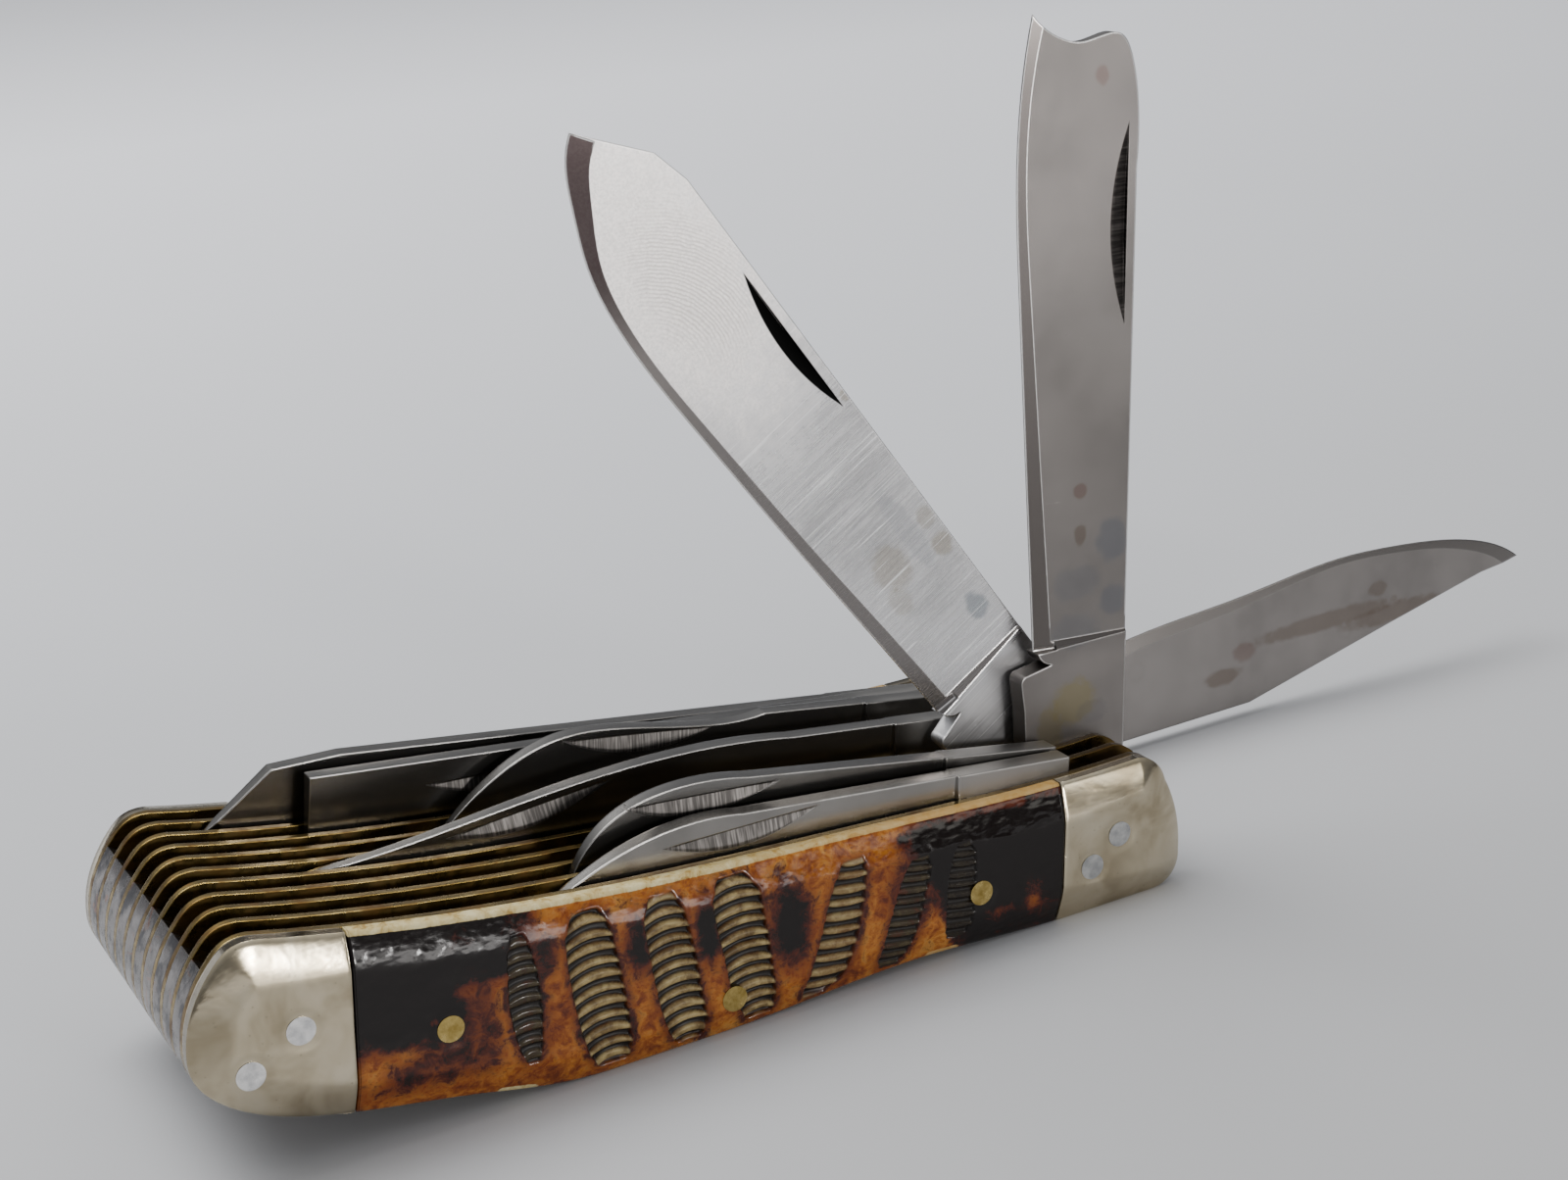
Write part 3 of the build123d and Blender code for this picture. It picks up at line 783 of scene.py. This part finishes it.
def make_scale(face, side, material):
    """A jigged bone scale on one side, with the burn, groove, rib and pale values that its look reads."""
    node = "scale_" + face
    loop, inner = inner_loop(node)
    outer = np.abs(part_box(node)[0 if side < 0 else 1][1])
    lean = leaning(*loop.T)
    left, right = lean.min(), lean.max()
    runs = joint_split(loop, (left, right))
    x, z = slab_grid(loop, left, right, columns=640, rows=150, gap=SCALE_GAP)
    inset = np.minimum.reduce([near_edge(x, z, run) for run in runs])
    drop = crown_drop(inset, bevel_width(x))
    fx, fz = x / MM, z / MM
    depth, groove, rib, halo = jig(fx, fz)
    fade = smooth(inset, .3 * MM, 1.2 * MM)
    ends = np.minimum(leaning(x, z) - left, right - leaning(x, z))
    drop = drop + depth * fade + JOINT_DROP * np.exp(-ends / SCALE_JOINT_REACH)
    drop = np.maximum(drop, pin_dish(x, z))
    y = side * (outer - drop)
    burn = burnt(fx, fz, halo)
    burn = burn - .52 * smooth(inset, 1.5 * MM, .6 * MM) * smooth(fx, 12, 20) * smooth(fz, 7, 9)
    top_width = MM * np.interp(fx, [5, 20], [.70, .42])
    top_edge = smooth(inset, top_width, .06 * MM) * smooth(fz, 8, 10)
    foot_stretches = np.maximum(smooth(fx, -17.5, -16) * smooth(fx, -12, -14),
                                smooth(fx, 28.5, 30) * smooth(fx, 34.5, 32))
    foot_edge = smooth(inset, .9 * MM, .2 * MM) * smooth(fz, 6, 4) * foot_stretches
    pale = np.maximum(top_edge, foot_edge)
    verts, faces, edge = walled(x, z, y, inner, side)

    def spread(values):
        flat = values.ravel()
        return np.concatenate([flat, flat[edge]])

    new_piece("bone_" + face, verts, faces, material, node,
              {"burn": spread(burn), "groove": spread(groove * fade), "rib": spread(rib * fade),
               "pale": spread(pale)})


def make_bolster(node, side, joint_side):
    """A bolster's crowned cap: rings of points that close in from its rim to the middle of its joint."""
    loop, inner = inner_loop(node)
    outer = np.abs(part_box(node)[0 if side < 0 else 1][1])
    lean = leaning(*loop.T)
    joint = lean.max() if joint_side > 0 else lean.min()
    run = joint_split(loop, (joint,))[0]
    steps = np.concatenate([[0], np.cumsum(np.hypot(*np.diff(run, axis=0).T))])
    even = np.linspace(0, steps[-1], 260)
    rim = np.stack([np.interp(even, steps, run[:, 0]), np.interp(even, steps, run[:, 1])], axis=1)
    rim[:, 0] -= joint_side * CAP_GAP * smooth(np.abs(leaning(*rim.T) - joint), 2 * MM, 0)
    hub = (rim[0] + rim[-1]) / 2
    near = np.append(RIM_STEPS, RIM_END)
    first_ring = .6 * MM
    reach = np.hypot(*(rim - hub).T)[:, None]
    inward = np.concatenate([np.broadcast_to(near, (len(rim), len(near))),
                             first_ring + (reach - first_ring) * np.linspace(0, 1, 70)[None, :]], axis=1)
    part = 1 - np.clip(inward, 0, reach) / reach
    x = hub[0] + (rim[:, 0:1] - hub[0]) * part
    z = hub[1] + (rim[:, 1:2] - hub[1]) * part
    inset = near_edge(x, z, run)
    drop = crown_drop(inset, bevel_width(x))
    ends = np.abs(joint - joint_side * CAP_GAP - leaning(x, z))
    drop = drop + JOINT_DROP * np.exp(-ends / CAP_JOINT_REACH)
    drop = np.maximum(drop, pin_dish(x, z))
    y = side * (outer - drop)
    columns, rows = x.shape
    faces = [grid_faces(columns, rows, side > 0)]
    verts = [np.stack([x.ravel(), y.ravel(), z.ravel()], axis=1)]
    edge = [i * rows for i in range(columns)] + [(columns - 1) * rows + j for j in range(1, rows)]
    edge += [j for j in range(rows - 1, 0, -1)]
    base = verts[0][edge].copy()
    base[:, 1] = side * inner
    first = columns * rows
    verts.append(base)
    wall = [[edge[k], edge[(k + 1) % len(edge)], first + (k + 1) % len(edge), first + k]
            for k in range(len(edge))]
    faces.append(np.array(wall))
    verts, faces = np.concatenate(verts), np.concatenate(faces)
    new_piece(node + "_cap", verts, faces, BOLSTER, node)


SIDES = ((-1, "front"), (1, "rear"))
for seed, (side, face) in enumerate(SIDES, start=1):
    make_scale(face, side, bone_look("jigged_bone_" + face, seed))
for side, face in SIDES:
    make_bolster("butt_bolster_" + face, side, 1)
    make_bolster("pivot_bolster_" + face, side, -1)


# ---- floor, light and camera -------------------------------------------------------------------------
FLOOR_NEAR, FLOOR_DEPTH = 280, 1100    # millimetres in front of the knife, and from there to the back


def floor_look():
    """Matt grey paper with painted light: dark just in front of the knife, lighter away from it, and pale
    out of sight in front of the camera for the blades to reflect.
    """
    look = Look("floor", .62, 0)
    at = look.place()
    cloud = look.noise(at, .004, 3, .5)
    away = look.math("MULTIPLY_ADD", cloud, 60, look.split(at)[1])
    far = look.math("DIVIDE", look.math("ADD", away, FLOOR_NEAR), FLOOR_DEPTH)
    # Painted light: pale far in front of the camera, dark just in front of the knife, and lighter again
    # towards the back.
    look.color(look.ramp(far, (.02, (.80, .80, .82)), (.12, (.32, .32, .324)), (.18, (.32, .32, .324)),
                         (.39, (.475, .484, .505)), (.84, (.80, .81, .85))))
    grain = look.noise(at, 1.2, 3, .6)
    look.bump(grain, .03, .0001)
    return look.material


bpy.ops.mesh.primitive_plane_add(size=30, location=(0, 0, 0))
floor = bpy.context.object
floor.name = "floor"
floor.data.materials.append(floor_look())


def lamp(name, place, aim, size, power, color=(1, 1, 1)):
    """A square lamp at a place, turned towards its aim."""
    light = bpy.data.lights.new(name, "AREA")
    light.shape = "SQUARE"
    light.size = size
    light.energy = power
    light.color = color
    obj = bpy.data.objects.new(name, light)
    obj.location = place
    obj.rotation_euler = (Vector(aim) - Vector(place)).to_track_quat("-Z", "Y").to_euler()
    bpy.context.collection.objects.link(obj)


lamp("overhead", (-.25, .35, 1.0), (.03, 0, .03), .80, 16)
lamp("window", (.21, -.95, .205), (-.03, 0, .02), .115, 3.9, (1, .98, .96))
lamp("card", (.27, -.69, .065), (.003, 0, .09), .12, .35, (1, .97, .95))
lamp("bounce", (.59, -.84, .30), (.05, 0, .02), .20, .35, (1, .96, .88))

world = bpy.data.worlds.new("studio")
world.use_nodes = True
world_nodes = world.node_tree.nodes
world_links = world.node_tree.links
direction = world_nodes.new("ShaderNodeTexCoord")
compass = world_nodes.new("ShaderNodeSeparateXYZ")
world_links.new(direction.outputs["Generated"], compass.inputs[0])
sky = world_nodes.new("ShaderNodeValToRGB")
sky.color_ramp.elements[0].position = .02
sky.color_ramp.elements[0].color = (.11, .11, .115, 1)
sky.color_ramp.elements[1].position = .95
sky.color_ramp.elements[1].color = (1, 1, 1, 1)
middle_sky = sky.color_ramp.elements.new(.45)
middle_sky.color = (.42, .43, .45, 1)
world_links.new(compass.outputs["Z"], sky.inputs["Fac"])
backdrop = world_nodes["Background"]
world_links.new(sky.outputs["Color"], backdrop.inputs["Color"])
backdrop.inputs["Strength"].default_value = 1.0
bpy.context.scene.world = world

LENS, SENSOR_WIDTH = 56.99, 36
CAMERA_PLACE = (-.08354, -.20851, .11836)
CAMERA_TURN = (70.659, 3.983, -29.025)    # degrees
camera_data = bpy.data.cameras.new("camera")
camera_data.lens = LENS
camera_data.sensor_width = SENSOR_WIDTH
camera = bpy.data.objects.new("camera", camera_data)
camera.location = CAMERA_PLACE
camera.rotation_euler = [math.radians(angle) for angle in CAMERA_TURN]
bpy.context.collection.objects.link(camera)
bpy.context.scene.camera = camera
